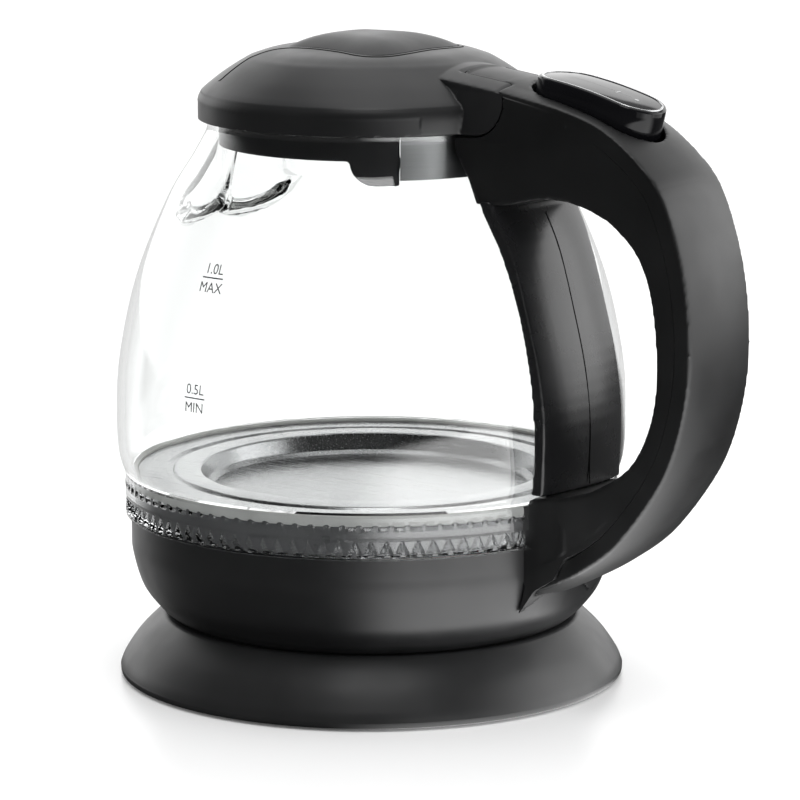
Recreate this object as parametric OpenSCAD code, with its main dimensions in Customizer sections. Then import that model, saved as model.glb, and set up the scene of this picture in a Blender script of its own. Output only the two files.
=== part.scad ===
// Electric glass kettle on a separate power base.
// The vertical axis of the jug is Z, the base stands on Z = 0, the handle points along +X
// and the spout points along -X. All sizes are in millimetres.

/* [Base] */
// Radius of the base at its foot
base_r = 73; // [71:0.5:75]
// Height of the rim that the jug sits inside
base_rim_z = 18.2; // [17.8:0.1:18.3]
// Radius of the cord inlet bush's hole
inlet_r = 3.3; // [2.8:0.1:3.6]

/* [Bowl] */
// Largest radius of the plastic bowl under the glass
bowl_r = 69.4; // [68.5:0.1:70]
// Outer radius of the clear light ring
ring_r = 71.1; // [70.6:0.1:71.4]

/* [Glass] */
// Largest outer radius of the glass
glass_r = 73.4; // [72.8:0.1:74]
// Outer radius of the glass at its neck
neck_r = 46.9; // [46.7:0.1:47.1]
// Thickness of the glass
glass_t = 2.3; // [1.8:0.1:2.4]
// Distance from the axis to the nose of the pouring lip
spout_x = 57.5; // [55:0.5:59]

/* [Lid] */
// Radius of the lid's brim
lid_r = 49.3; // [48.8:0.1:49.6]
// Height of the brim's upright edge
brim_h = 5.8; // [5.4:0.1:6]

/* [Handle] */
// Width of the grip
grip_w = 30; // [29:0.5:31]
// Width of the column that hugs the glass
column_w = 38; // [36:0.5:40]
// Wall thickness of the handle shells
shell_t = 2.4; // [2:0.1:2.6]

/* [Power rocker] */
// Length of the oval rocker
rocker_l = 39.5; // [38:0.5:40]
// Width of the oval rocker
rocker_w = 19; // [18:0.5:19.5]
// Gap between the rocker and its well
rocker_gap = 1.1; // [1:0.05:1.3]

/* [Hidden] */
$fn = 96;
// Small distance that a cutting body runs past the face it cuts
eps = 0.1;

// Heights of the stack, from the floor up
cover_z = 0.9;
seat_z = 15;
bowl_z0 = 18.8;
bowl_z1 = 47.7;
plate_z = 59.2;
ring_z1 = 60.1;
glass_z0 = 60.5;
glass_z1 = 161.1;
spout_t = 1.99;
brim_z = 161.4;
dome_z = brim_z + brim_h;
crown_z = 182.6;
island_z = 185.8;
island_dome_r = 90;
island_fit = 1.007;

// 360 degree connector
well_r = 56.4;
socket_r = 16;
socket_z1 = 24;
slot_z0 = 12;
pin_r = 2;
run_gap = 0.05;
cup_r0 = 17;
cup_r1 = 20.4;
neutral_r = [5.8, 6.8];
earth_r = [10.9, 11.9];
slot_gap = 0.6;

// Screws and posts
post_ring_r = 51.8;
control_ear_r = 23;
element_r = 33;
base_screw_r = 40;
foot_r = 63;
lid_post_r = 30;

// Lid hinge
hinge_x = 50;
hinge_z = 170;
hinge_pin_r = 1.5;
knuckle_r = 13;
knuckle_w = 18;
collar_w = 32;
web_gap = 0.6;
arm_r = 8.6;
arm_gap = 0.35;
skirt_r = 43.2;
skirt_z0 = 153.6;
ear_z0 = 146.6;
window_a = 41.5;
ear_a = 60;

// Power rocker, in the frame of its tilted top face
rocker_x = 80.4;
rocker_top_z = 175.4;
rocker_tilt = 12.6;
rocker_h = 13;
rocker_pivot = 8.5;
rocker_axle_r = 1.5;
lever_x = 78;
lever_z = 158.5;

// Point at t on the curve that passes through p1 and p2
function curve_point(p0, p1, p2, p3, t) =
    0.5 * (2 * p1 + (p2 - p0) * t
    + (2 * p0 - 5 * p1 + 4 * p2 - p3) * t * t
    + (3 * p1 - p0 - 3 * p2 + p3) * t * t * t);

// Smooth open curve through the points p, with n steps between neighbours
function curve(p, n = 4) =
    let (last = len(p) - 1)
    concat(
        [for (i = [0:last - 1], k = [0:n - 1])
            curve_point(p[max(i - 1, 0)], p[i], p[i + 1], p[min(i + 2, last)], k / n)],
        [p[last]]
    );

// Unit normal to the right of the curve c at its point i
function normal_at(c, i) =
    let (run = c[min(i + 1, len(c) - 1)] - c[max(i - 1, 0)])
    [run[1], -run[0]] / norm(run);

// Curve c moved to its right by d
function shifted(c, d) = [for (i = [0:len(c) - 1]) c[i] + d * normal_at(c, i)];

function reversed(c) = [for (i = [len(c) - 1:-1:0]) c[i]];

// Items first to last of the list c
function part_of(c, first, last) = [for (i = [first:last]) c[i]];

// Side outlines as radius and height, each read upwards
foot_curve = curve([
    [base_r, cover_z - 0.1], [base_r, 2.4], [base_r - 1.4, 5.5],
    [base_r - 5.6, 11.4], [base_r - 12.4, base_rim_z - 0.2]
]);
bowl_curve = curve([
    [59, bowl_z0], [62.2, 21.7], [66.5, 27.6], [69.1, 36.5], [bowl_r, 42], [bowl_r, bowl_z1]
]);
glass_curve = curve([
    [71.5, glass_z0], [72.9, 66], [glass_r, 76], [72.4, 93], [67.4, 116],
    [58.4, 138.3], [50.6, 151.3], [neck_r, 158.4], [neck_r, glass_z1]
], 5);
// Half outline of the raised island, from above, read from the spout side to the hinge side
island_curve = curve([
    [-20.5, 0], [-20, 10], [-17, 15.6], [-8, 17.6], [4, 19.4], [13, 20.6], [18.6, 17.4],
    [20.4, 10], [20.4, 0]
], 3);
dome_curve = curve([
    [lid_r, brim_z], [lid_r, dome_z], [46.5, 170.8], [36.6, 177.8],
    [26.3, 181.2], [13, 182.4], [0, crown_z]
]);

// Side outlines of the handle in the XZ plane, read from the top of the handle to its foot
spine_points = [
    [56, 176.4], [66, 174.5], [78, 171.6], [91, 167], [103, 158.8], [111.6, 148.7],
    [118.5, 129], [121, 107], [118.8, 88], [112.2, 70.3], [98.3, 51.7], [85.1, 41.3], [69.7, 33]
];
gap_points = [
    [62, 142.8], [75, 145.6], [87.5, 143], [94.2, 139.6], [102.2, 132.1], [106.9, 120.1],
    [108.8, 101.8], [106.9, 87], [99.9, 73.8], [86, 65], [76, 63.2]
];
harness_points = [
    [79, 150.9], [94, 147.6], [103.6, 139], [110.6, 126], [114.6, 107], [112.6, 87],
    [106, 71.5], [94, 58], [80, 45], [72, 38.6]
];
spine_curve = curve(spine_points);
gap_curve = curve(gap_points);
harness_curve = curve(harness_points);
spine_t = 6.2;

// Extrudes a shape drawn in the XZ plane, w wide and centred on Y = 0
module slab(w) {
    rotate([90, 0, 0])
        linear_extrude(w, center = true)
            children();
}

// Cylinder along Y through the point x, z
module cross_cylinder(x, z, r, w) {
    translate([x, 0, z])
        rotate([90, 0, 0])
            cylinder(h = w, r = r, center = true);
}

// Upright tube from z0 to z1
module tube(r0, r1, z0, z1) {
    translate([0, 0, z0])
        difference() {
            cylinder(h = z1 - z0, r = r1);
            translate([0, 0, -eps])
                cylinder(h = z1 - z0 + 2 * eps, r = r0);
        }
}

// Places children n times around the axis at radius r
module around(n, r, start = 0) {
    for (i = [0:n - 1])
        rotate([0, 0, start + i * 360 / n])
            translate([r, 0, 0])
                children();
}

// Upright oval prism, long along X, with its middle at the origin
module oval(l, w, h) {
    reach = (l - w) / 2;
    for (side = [-1, 1])
        translate([side * reach, 0, 0])
            cylinder(h = h, r = w / 2);
    translate([-reach, -w / 2, 0])
        cube([2 * reach, w, h]);
}

// Moves children into the frame of the rocker's tilted top face
module on_rocker() {
    translate([rocker_x, 0, rocker_top_z])
        rotate([0, rocker_tilt, 0])
            children();
}

// Pan head screw with its head at the bottom
module screw(shank_r, head_r, head_h, length) {
    cylinder(h = head_h, r = head_r);
    cylinder(h = length, r = shank_r);
}

// ---- Base ----

module foot_outline() {
    polygon(concat(
        foot_curve,
        [[base_r - 13.2, base_rim_z], [well_r + 0.6, base_rim_z], [well_r, base_rim_z - 0.6]],
        [[well_r, 13], [54, 13], [54, seat_z - run_gap], [48, seat_z - run_gap], [48, 13]],
        [[socket_r + 0.1, 13], [socket_r + 0.1, 11], [well_r + 1, 11], [well_r + 2.2, 14.4]],
        [[base_r - 8.2, 9.8], [base_r - 3.4, 4.6], [base_r - 2.3, 2.4], [base_r - 2.3, cover_z - 0.1]]
    ));
}

module base_screw_posts() {
    around(3, base_screw_r, 30)
        translate([0, 0, cover_z + 1.8])
            cylinder(h = 11 - cover_z - 1.8 + eps, r = 3.6);
}

module base_shell() {
    color("#26272a")
        difference() {
            union() {
                rotate_extrude()
                    foot_outline();
                base_screw_posts();
            }
            around(3, base_screw_r, 30)
                cylinder(h = 10, r = 1.5);
            translate([0, base_r - 16, 6.6])
                rotate([-90, 0, 0])
                    cylinder(h = 30, r = 5.2);
        }
}

module base_cover() {
    color("#1f2022")
        difference() {
            tube(3, base_r - 2.4, cover_z, cover_z + 1.8);
            around(3, base_screw_r, 30)
                cylinder(h = 10, r = 1.7);
            around(3, base_screw_r, 30)
                cylinder(h = cover_z + 1, r = 3.2);
            around(6, 22, 0)
                cylinder(h = 10, r = 1.6);
            translate([-3.8, base_r - 15.4, 0])
                cube([7.6, 20, 10]);
        }
}

module foot_ring() {
    color("#3a3a3a")
        tube(foot_r - 6, foot_r, 0, cover_z);
}

module base_screws() {
    color("silver")
        around(3, base_screw_r, 30)
            translate([0, 0, cover_z + 0.1])
                screw(1.5, 2.9, 0.9, 8.9);
}

module socket_slots() {
    tube(neutral_r[0] - slot_gap, neutral_r[1] + slot_gap, slot_z0, socket_z1 + eps);
    tube(earth_r[0] - slot_gap, earth_r[1] + slot_gap, slot_z0, socket_z1 + eps);
    translate([0, 0, slot_z0])
        cylinder(h = socket_z1, r = pin_r + 0.5);
}

module base_socket() {
    color("#2b2b2e")
        difference() {
            union() {
                translate([0, 0, 5])
                    cylinder(h = socket_z1 - 5, r = socket_r);
                translate([0, 0, 5])
                    cylinder(h = 6, r = socket_r + 3);
            }
            socket_slots();
            contact_tail(0);
            contact_tail((neutral_r[0] + neutral_r[1]) / 2);
            contact_tail((earth_r[0] + earth_r[1]) / 2);
        }
}

// Terminal leg that runs down through the socket
module contact_tail(x) {
    translate([x, 0, 2.8])
        cylinder(h = slot_z0 - 2.8, r = 0.9);
}

module live_contact() {
    color("#c9a55c") {
        contact_tail(0);
        translate([0, 0, slot_z0])
            cylinder(h = 0.8, r = pin_r + 0.4);
    }
}

module neutral_contact() {
    color("#c9a55c") {
        contact_tail((neutral_r[0] + neutral_r[1]) / 2);
        tube(neutral_r[0] - 0.4, neutral_r[1] + 0.4, slot_z0, slot_z0 + 0.8);
    }
}

module earth_contact() {
    color("#c9a55c") {
        contact_tail((earth_r[0] + earth_r[1]) / 2);
        tube(earth_r[0] - 0.4, earth_r[1] + 0.4, slot_z0, slot_z0 + 0.8);
    }
}

module inlet_bush() {
    color("#1b1b1d")
        translate([0, 0, 6.6])
            rotate([-90, 0, 0])
                difference() {
                    translate([0, 0, base_r - 15])
                        cylinder(h = 14.6, r = 5.1);
                    cylinder(h = base_r + 5, r = inlet_r);
                }
}

// ---- Jug: connector and heater ----

module connector_pin() {
    color("#c9a55c") {
        translate([0, 0, 14.2])
            cylinder(h = 17.8, r = pin_r);
        translate([0, 0, 30])
            cylinder(h = 2, r = pin_r + 1.4);
    }
}

module control_housing() {
    color("#e9e6dc")
        difference() {
            union() {
                translate([0, 0, 25])
                    cylinder(h = 24.4, r = cup_r1);
                tube(cup_r0, cup_r1, 16, 25);
                around(3, control_ear_r, 60)
                    translate([0, 0, 44])
                        cylinder(h = 5.4, r = 3.8);
            }
            translate([0, 0, 20])
                cylinder(h = 14, r = pin_r + run_gap);
            translate([0, 0, 30 - run_gap])
                cylinder(h = 4, r = pin_r + 1.4 + run_gap);
            tube(neutral_r[0], neutral_r[1], 24, 31);
            tube(earth_r[0], earth_r[1], 24, 31);
            around(3, control_ear_r, 60) {
                translate([0, 0, 40])
                    cylinder(h = 12, r = 1.6);
                translate([0, 0, 41.6])
                    cylinder(h = 2.5, r = 3);
            }
            for (side = [-1, 1])
                translate([0, side * 10, 48.6])
                    cylinder(h = 2, r = 9);
        }
}

module neutral_ring() {
    color("#c9a55c")
        tube(neutral_r[0], neutral_r[1], 14.2, 31);
}

module earth_ring() {
    color("#b9b9b4")
        tube(earth_r[0], earth_r[1], 14.2, 31);
}

module cutout_discs() {
    color("#a8a49a")
        for (side = [-1, 1])
            translate([0, side * 10, 49.6])
                cylinder(h = 0.8, r = 8.6);
}

module control_screws() {
    color("silver")
        around(3, control_ear_r, 60)
            translate([0, 0, 42.2])
                screw(1.5, 2.8, 1.8, 10.4);
}

module heating_element() {
    color("#8d8f90") {
        rotate([0, 0, 30])
            rotate_extrude(angle = 300)
                translate([element_r, 47])
                    circle(r = 3.4);
        for (turn = [40, 320])
            rotate([0, 0, turn])
                translate([element_r, 0, 37])
                    cylinder(h = 8.4, r = 1.6);
    }
}

module heat_spreader() {
    color("#b7babd")
        difference() {
            translate([0, 0, 50.4])
                cylinder(h = 3.2, r = 42);
            around(3, control_ear_r, 60)
                translate([0, 0, 49])
                    cylinder(h = 4, r = 1.5);
        }
}

module heating_plate() {
    color("#c8cacc") {
        rotate_extrude()
            polygon([
                [0, 53.6], [46.4, 53.6], [48.2, 54.4], [49.8, plate_z], [57, plate_z],
                [57.4, plate_z - 0.5], [58.8, plate_z - 0.5], [59.2, plate_z], [68, plate_z],
                [68, 60], [59.4, 60], [58.8, 59.4], [57.6, 59.4], [57, 60], [49.2, 60],
                [47.4, 54.9], [46.2, 54.4], [0, 54.4]
            ]);
        around(3, post_ring_r, 60)
            tube(1.4, 2.4, 52.1, plate_z + 0.1);
    }
}

module plate_seal() {
    color("#d9d9d6")
        rotate_extrude()
            polygon([
                [60, 57.4], [68.6, 57.4], [68.6, ring_z1], [70.9, ring_z1], [70.9, glass_z0],
                [68.1, glass_z0], [68.1, plate_z], [60, plate_z]
            ]);
}

module lower_housing() {
    inner = reversed(shifted(bowl_curve, -2.2));
    color("#2a2b2e")
        difference() {
            union() {
                rotate_extrude()
                    polygon(concat(
                        [[cup_r1 + 0.5, seat_z], [55.4, seat_z], [55.4, 18.5], [58.4, 18.5]],
                        bowl_curve,
                        inner,
                        [[cup_r1 + 0.5, seat_z + 2.4]]
                    ));
                around(3, post_ring_r, 60)
                    translate([0, 0, seat_z + 1])
                        cylinder(h = 52 - seat_z - 1, r = 3.4);
            }
            around(3, post_ring_r, 60)
                cylinder(h = 60, r = 1.4);
            around(3, post_ring_r, 60)
                cylinder(h = seat_z + 2, r = 3);
            translate([60, 0, 38])
                rotate([0, 90, 0])
                    cylinder(h = 20, r = 4.5);
            for (side = [-1, 1])
                translate([60, side * 10, 46])
                    rotate([0, 90, 0])
                        cylinder(h = 20, r = 1.6);
        }
}

module housing_screws() {
    color("silver")
        around(3, post_ring_r, 60)
            translate([0, 0, seat_z + 0.2])
                screw(1.4, 2.8, 1.8, 40);
}

module light_ring() {
    color("#dfe6ea", 0.6)
        tube(68.7, ring_r, bowl_z1, ring_z1);
}

module led_board() {
    color("#1f5a3a")
        tube(58.6, 66.9, 50.2, 51.4);
}

module leds() {
    color("#f4f6ff")
        around(6, 64.6, 30)
            translate([-1, -1.6, 51.4])
                cube([2.4, 3.2, 1.8]);
}

// ---- Jug: glass ----

// Pouring lip, drawn solid, with its walls moved in by t
module spout_solid(t) {
    hull() {
        translate([-spout_x + 4, 0, glass_z1 - 2])
            cylinder(h = 2 + t, r = 4 - t, $fn = 32);
        translate([-30, 0, glass_z1 - 2])
            cylinder(h = 2 + t, r = 19 - t, $fn = 32);
        translate([-spout_x + 3.4, 0, 138 + t])
            sphere(r = 3.4 - t / 2, $fn = 32);
        translate([-40, 0, 138 + t])
            sphere(r = 9 - t, $fn = 32);
    }
}

module glass_outer() {
    rotate_extrude()
        polygon(concat([[0, glass_z0]], glass_curve, [[0, glass_z1]]));
}

module glass_inner() {
    inner = shifted(glass_curve, -glass_t);
    last = len(inner) - 1;
    rotate_extrude()
        polygon(concat(
            [[0, glass_z0 - eps], [inner[0][0], glass_z0 - eps]],
            inner,
            [[inner[last][0], glass_z1 + eps], [0, glass_z1 + eps]]
        ));
}

module glass_body() {
    color("#e8f0f2", 0.35)
        difference() {
            union() {
                glass_outer();
                spout_solid(0);
            }
            glass_inner();
            spout_solid(spout_t);
        }
}

// Arc of a tube between two angles measured from the handle
module arc_wall(r0, r1, z0, z1, a0, a1) {
    rotate([0, 0, a0])
        rotate_extrude(angle = a1 - a0)
            polygon([[r0, z0], [r1, z0], [r1, z1], [r0, z1]]);
}

module steam_deflector() {
    color("#bfc1c2") {
        rotate([0, 0, -window_a])
            rotate_extrude(angle = 2 * window_a)
                polygon([
                    [43.3, 148.4], [44.1, 148.4], [44.1, glass_z1 + 0.1], [43.6, glass_z1 + 0.1],
                    [43.6, 152.3], [43.3, 152.3]
                ]);
        arc_wall(43.8, 47.6, glass_z1 + 0.05, glass_z1 + 0.8, -10, 10);
    }
}

// ---- Jug: handle ----

// Solid of the jug, grown by d, that the handle parts fit around
module jug_envelope(d) {
    side = concat(bowl_curve, [[ring_r, bowl_z1], [ring_r, glass_z0]], glass_curve);
    rotate_extrude()
        polygon(concat(
            [[0, bowl_z0]],
            [for (p = side) [p[0] + d, p[1]]],
            [[0, glass_z1]]
        ));
}

// Side outline of the handle without its spine, open on the finger gap
module core_outline() {
    polygon(concat(
        shifted(spine_curve, spine_t),
        [[60, 38], [60, 63.2]],
        reversed(gap_curve),
        [[45, 142.8], [45, 160.6], [56, 160.6]]
    ));
}

// Space that the lid's arms sweep at the hinge
module arm_sweep() {
    difference() {
        cross_cylinder(hinge_x, hinge_z, arm_r + arm_gap, column_w + 4);
        cross_cylinder(hinge_x, hinge_z, arm_r + 2, knuckle_w);
    }
}

// Hollow that holds the switch and runs down the grip
module handle_hollow() {
    slab(grip_w - 2 * shell_t)
        polygon(concat(
            shifted(curve(part_of(spine_points, 1, 10)), shell_t),
            reversed(shifted(curve(part_of(gap_points, 1, 9)), -shell_t)),
            [[64.5, 148.2], [64.5, 168]]
        ));
}

// Narrow duct for the wires between the grip and the bowl
module wire_duct() {
    run = curve(part_of(harness_points, 5, 9));
    slab(9)
        polygon(concat(
            shifted(run, -1.8), [[62, 35], [62, 41.8]], reversed(shifted(run, 3.4))
        ));
}

// Oval opening that the rocker dips into
module rocker_well(depth) {
    on_rocker()
        translate([0, 0, -depth])
            oval(rocker_l + 2 * rocker_gap, rocker_w + 2 * rocker_gap, depth + 10);
}

// Top knuckle of the handle that reaches forward between the lid's arms
module knuckle() {
    intersection() {
        slab(knuckle_w)
            polygon([
                [34, 162.2], [60, 162.2], [60, 174], [56, 176.4], [45, 177.8], [34, 179]
            ]);
        union() {
            cross_cylinder(hinge_x, hinge_z, knuckle_r, knuckle_w + 1);
            translate([hinge_x, -20, 150])
                cube([20, 40, 40]);
        }
    }
}

// Curved strip that follows the back of the handle, w wide and t thick
module spine_prism(w, t) {
    slab(w)
        polygon(concat(spine_curve, reversed(shifted(spine_curve, t))));
}

module handle_body() {
    color("#1d1d1f")
        difference() {
            union() {
                slab(grip_w)
                    core_outline();
                slab(column_w)
                    polygon([
                        [44, 142.9], [56, 142.9], [60, 146], [61.5, 151], [61.5, 156],
                        [59, 160.6], [44, 160.6]
                    ]);
                slab(grip_w + 4)
                    polygon([
                        [60, 26], [65, 28], [70.7, 36], [77, 40], [80, 46], [80, 54], [76, 62],
                        [60, 62]
                    ]);
            }
            slab(22)
                polygon([[60, 20], [80, 20], [80, 38.6], [69.7, 33], [60, 33]]);
            spine_prism(grip_w + 0.2, spine_t + 0.05);
            jug_envelope(0.3);
            arm_sweep();
            handle_hollow();
            wire_duct();
            rocker_well(15.5);
            slab(knuckle_w + 0.2)
                polygon([[44, 162.1], [60.1, 162.1], [60.1, 180], [44, 180]]);
            translate([46, -4, 157])
                cube([20, 8, 6]);
            for (side = [-1, 1])
                translate([60, side * 10, 46])
                    rotate([0, 90, 0])
                        cylinder(h = 16.5, r = 1.2);
        }
}

module handle_spine() {
    color("#37383b")
        difference() {
            union() {
                spine_prism(grip_w, spine_t);
                knuckle();
            }
            arm_sweep();
            jug_envelope(0.3);
            handle_hollow();
            wire_duct();
            cross_cylinder(hinge_x, hinge_z, hinge_pin_r, grip_w);
            rocker_well(25);
            on_rocker()
                translate([0, 0, -rocker_pivot])
                    rotate([90, 0, 0])
                        cylinder(h = grip_w - 3, r = rocker_axle_r, center = true);
        }
}

module column_cover() {
    face = concat([[76.4, 62]], curve([
        [76.6, 66], [77, 82.4], [75.2, 97], [71.6, 111.5], [66.4, 128.9], [61, 140], [59.2, 142.6]
    ]));
    color("#232426")
        difference() {
            intersection() {
                rotate_extrude()
                    polygon(concat([[40, 62]], face, [[40, 142.6]]));
                translate([40, -column_w / 2, 60])
                    cube([60, column_w, 90]);
            }
            jug_envelope(0.3);
            slab(column_w + 2)
                polygon([[60, 40], [90, 40], [90, 63.3], [60, 63.3]]);
        }
}

module handle_screws() {
    color("silver")
        for (side = [-1, 1])
            translate([62.4, side * 10, 46])
                rotate([0, 90, 0])
                    screw(1.2, 2.6, 1.8, 12.6);
}

module wire_harness() {
    color("#b03a2e") {
        slab(8)
            polygon(concat(harness_curve, reversed(shifted(harness_curve, 2))));
        translate([22, -4, 37])
            cube([49.2, 8, 2]);
    }
}

module steam_switch() {
    color("#d8d5cb") {
        difference() {
            translate([66, -9, 149])
                cube([26, 18, 6.6]);
            translate([lever_x - 3, -2.5, 151])
                cube([6, 5, 6]);
            translate([78, -5, 148])
                cube([20, 10, 3]);
        }
        for (side = [-1, 1])
            difference() {
                translate([lever_x - 2.5, side * 3.6 - 1, 155.6])
                    cube([5, 2, 5.2]);
                cross_cylinder(lever_x, lever_z, 1.2 + run_gap, 12);
            }
    }
}

module steam_bimetal() {
    color("#b9a27a")
        translate([65, 0, 153])
            rotate([0, 90, 0])
                cylinder(h = 0.9, r = 4.6);
}

module snap_spring() {
    color("#c7c9cb")
        translate([82, -2, 155.6])
            cube([9, 4, 0.5]);
}

module hinge_pin() {
    color("silver")
        cross_cylinder(hinge_x, hinge_z, hinge_pin_r, 27);
}

module rocker_pin() {
    color("silver")
        on_rocker()
            translate([0, 0, -rocker_pivot])
                rotate([90, 0, 0])
                    cylinder(h = grip_w - 3.4, r = rocker_axle_r, center = true);
}

// ---- Lid ----

// Outline of the raised collar that carries the lid's two arms
module collar_outline() {
    polygon([
        [33.4, 170], [33.4, 179.2], [45, 177.8], [56, 176.4], [hinge_x + 20, 174],
        [hinge_x + 20, brim_z], [40, brim_z], [40, 170]
    ]);
}

// Wedge that widens downwards, so the collar's sides splay out to the column's width
module splayed_sides() {
    rotate([90, 0, 90])
        linear_extrude(100)
            polygon([
                [-column_w / 2, 150], [column_w / 2, 150], [column_w / 2, 160],
                [collar_w / 2, 176], [collar_w / 2, 190], [-collar_w / 2, 190],
                [-collar_w / 2, 176], [-column_w / 2, 160]
            ]);
}

module hinge_arms() {
    intersection() {
        slab(column_w)
            collar_outline();
        splayed_sides();
        union() {
            cross_cylinder(hinge_x, hinge_z, arm_r, column_w);
            translate([0, -30, 150])
                cube([hinge_x, 60, 40]);
        }
    }
}

// Room that every lid part leaves for the handle's knuckle
module knuckle_room() {
    cross_cylinder(hinge_x, hinge_z, knuckle_r + web_gap, knuckle_w + 0.8);
}

module lid_cover() {
    under = reversed(shifted(dome_curve, -2.2));
    color("#2c2d30")
        difference() {
            union() {
                rotate_extrude()
                    polygon(concat(dome_curve, [[0, crown_z - 2.2]],
                        [for (p = under) if (p[0] > 0 && p[1] > brim_z) p],
                        [[lid_r - 2.2, brim_z]]));
                difference() {
                    hinge_arms();
                    translate([0, 0, 150])
                        cylinder(h = 13.6, r = lid_r - 2.2);
                }
            }
            knuckle_room();
            cross_cylinder(hinge_x, hinge_z, hinge_pin_r + run_gap, 27.2);
            island_prism(island_fit);
        }
}

// Upright prism with the bell shaped outline of the island, grown by the factor k
module island_prism(k) {
    translate([0, 0, 179])
        linear_extrude(10)
            polygon(concat(
                k * island_curve,
                [for (p = reversed(island_curve)) if (p[1] > 0) [k * p[0], -k * p[1]]]
            ));
}

module lid_island() {
    color("#47484b")
        intersection() {
            island_prism(1);
            translate([0, 0, island_z - island_dome_r])
                sphere(r = island_dome_r, $fn = 128);
        }
}

// Hanging tab at each end of the skirt, with one rounded lower corner
module skirt_ear() {
    depth = skirt_z0 - ear_z0;
    width = 13.6;
    translate([skirt_r - 8, -width / 2, ear_z0])
        union() {
            cube([12, width - depth, depth + 4]);
            translate([0, width - depth, depth])
                rotate([0, 90, 0])
                    cylinder(h = 12, r = depth);
        }
}

module lid_liner() {
    color("#1a1a1c")
        difference() {
            union() {
                translate([0, 0, brim_z])
                    cylinder(h = 2, r = lid_r - 2.4);
                rotate([0, 0, window_a])
                    rotate_extrude(angle = 360 - 2 * window_a)
                        polygon([
                            [skirt_r - 2, skirt_z0], [skirt_r, skirt_z0],
                            [skirt_r, brim_z + 1], [skirt_r - 2, brim_z + 1]
                        ]);
                for (side = [0, 1])
                    mirror([0, side, 0])
                        rotate([0, 0, (window_a + ear_a) / 2])
                            intersection() {
                                tube(skirt_r - 1.9, skirt_r - 0.1, ear_z0, skirt_z0 + 1);
                                skirt_ear();
                            }
                around(3, lid_post_r, 60)
                    translate([0, 0, brim_z + 1])
                        cylinder(h = 13, r = 3);
            }
            knuckle_room();
            around(3, lid_post_r, 60)
                translate([0, 0, brim_z - 2])
                    cylinder(h = 20, r = 1.4);
            around(3, lid_post_r, 60)
                translate([0, 0, brim_z - eps])
                    cylinder(h = 1.5, r = 2.8);
        }
}

module lid_screws() {
    color("silver")
        around(3, lid_post_r, 60)
            translate([0, 0, brim_z])
                screw(1.4, 2.7, 1.3, 12);
}

// ---- Power rocker ----

module power_rocker() {
    color("#0c0c0d")
        on_rocker()
            difference() {
                translate([0, 0, -rocker_h])
                    oval(rocker_l, rocker_w, rocker_h);
                translate([0, 0, -0.5])
                    trim_ring();
                translate([0, 0, -rocker_pivot])
                    rotate([90, 0, 0])
                        cylinder(h = 40, r = rocker_axle_r + run_gap, center = true);
                translate([-6, -3, -rocker_h - eps])
                    cube([8, 6, 3]);
            }
}

// Thin oval ring set into the rocker's top face
module trim_ring() {
    difference() {
        oval(rocker_l - 1.4, rocker_w - 1.4, 0.8);
        translate([0, 0, -eps])
            oval(rocker_l - 2.6, rocker_w - 2.6, 1);
    }
}

module rocker_trim() {
    color("#c3c5c7")
        on_rocker()
            translate([0, 0, -0.5])
                trim_ring();
}

module trip_lever() {
    color("#e2dfd6") {
        cross_cylinder(lever_x, lever_z, 1.2, 9);
        translate([lever_x - 1, -2, lever_z])
            cube([2, 4, 4.6]);
        translate([lever_x - 1, -2, lever_z - 6])
            cube([2, 4, 6]);
    }
}

base_shell();
base_cover();
foot_ring();
base_screws();
base_socket();
live_contact();
neutral_contact();
earth_contact();
inlet_bush();
connector_pin();
lower_housing();
housing_screws();
control_housing();
neutral_ring();
earth_ring();
cutout_discs();
control_screws();
heating_element();
heat_spreader();
heating_plate();
plate_seal();
light_ring();
led_board();
leds();
glass_body();
steam_deflector();
handle_body();
handle_spine();
column_cover();
handle_screws();
wire_harness();
steam_switch();
steam_bimetal();
snap_spring();
hinge_pin();
rocker_pin();
lid_cover();
lid_island();
lid_liner();
lid_screws();
power_rocker();
rocker_trim();
trip_lever();
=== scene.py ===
import math

import bmesh
import bpy
from mathutils import Matrix, Vector


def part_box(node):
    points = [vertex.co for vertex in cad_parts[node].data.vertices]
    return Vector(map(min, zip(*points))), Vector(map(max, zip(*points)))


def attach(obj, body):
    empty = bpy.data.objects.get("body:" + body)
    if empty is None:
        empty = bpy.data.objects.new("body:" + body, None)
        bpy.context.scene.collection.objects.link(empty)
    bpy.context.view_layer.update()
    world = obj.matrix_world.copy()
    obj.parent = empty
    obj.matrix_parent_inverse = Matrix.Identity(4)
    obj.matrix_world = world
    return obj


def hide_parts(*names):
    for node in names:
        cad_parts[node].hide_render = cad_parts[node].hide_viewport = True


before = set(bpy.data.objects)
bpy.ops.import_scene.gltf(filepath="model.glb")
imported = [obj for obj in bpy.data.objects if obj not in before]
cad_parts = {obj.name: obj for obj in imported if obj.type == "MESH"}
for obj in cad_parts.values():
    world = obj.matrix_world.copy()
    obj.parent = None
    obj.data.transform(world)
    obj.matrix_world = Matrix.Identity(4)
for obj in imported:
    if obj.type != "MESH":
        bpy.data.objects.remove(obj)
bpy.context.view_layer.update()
MM = 0.001


# ---- helpers ----

def mix(a, b, t):
    return a + (b - a) * t


def step(a, b, x):
    """0 below a, 1 above b and smooth between."""
    t = min(max((x - a) / (b - a), 0.0), 1.0)
    return t * t * (3 - 2 * t)


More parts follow.
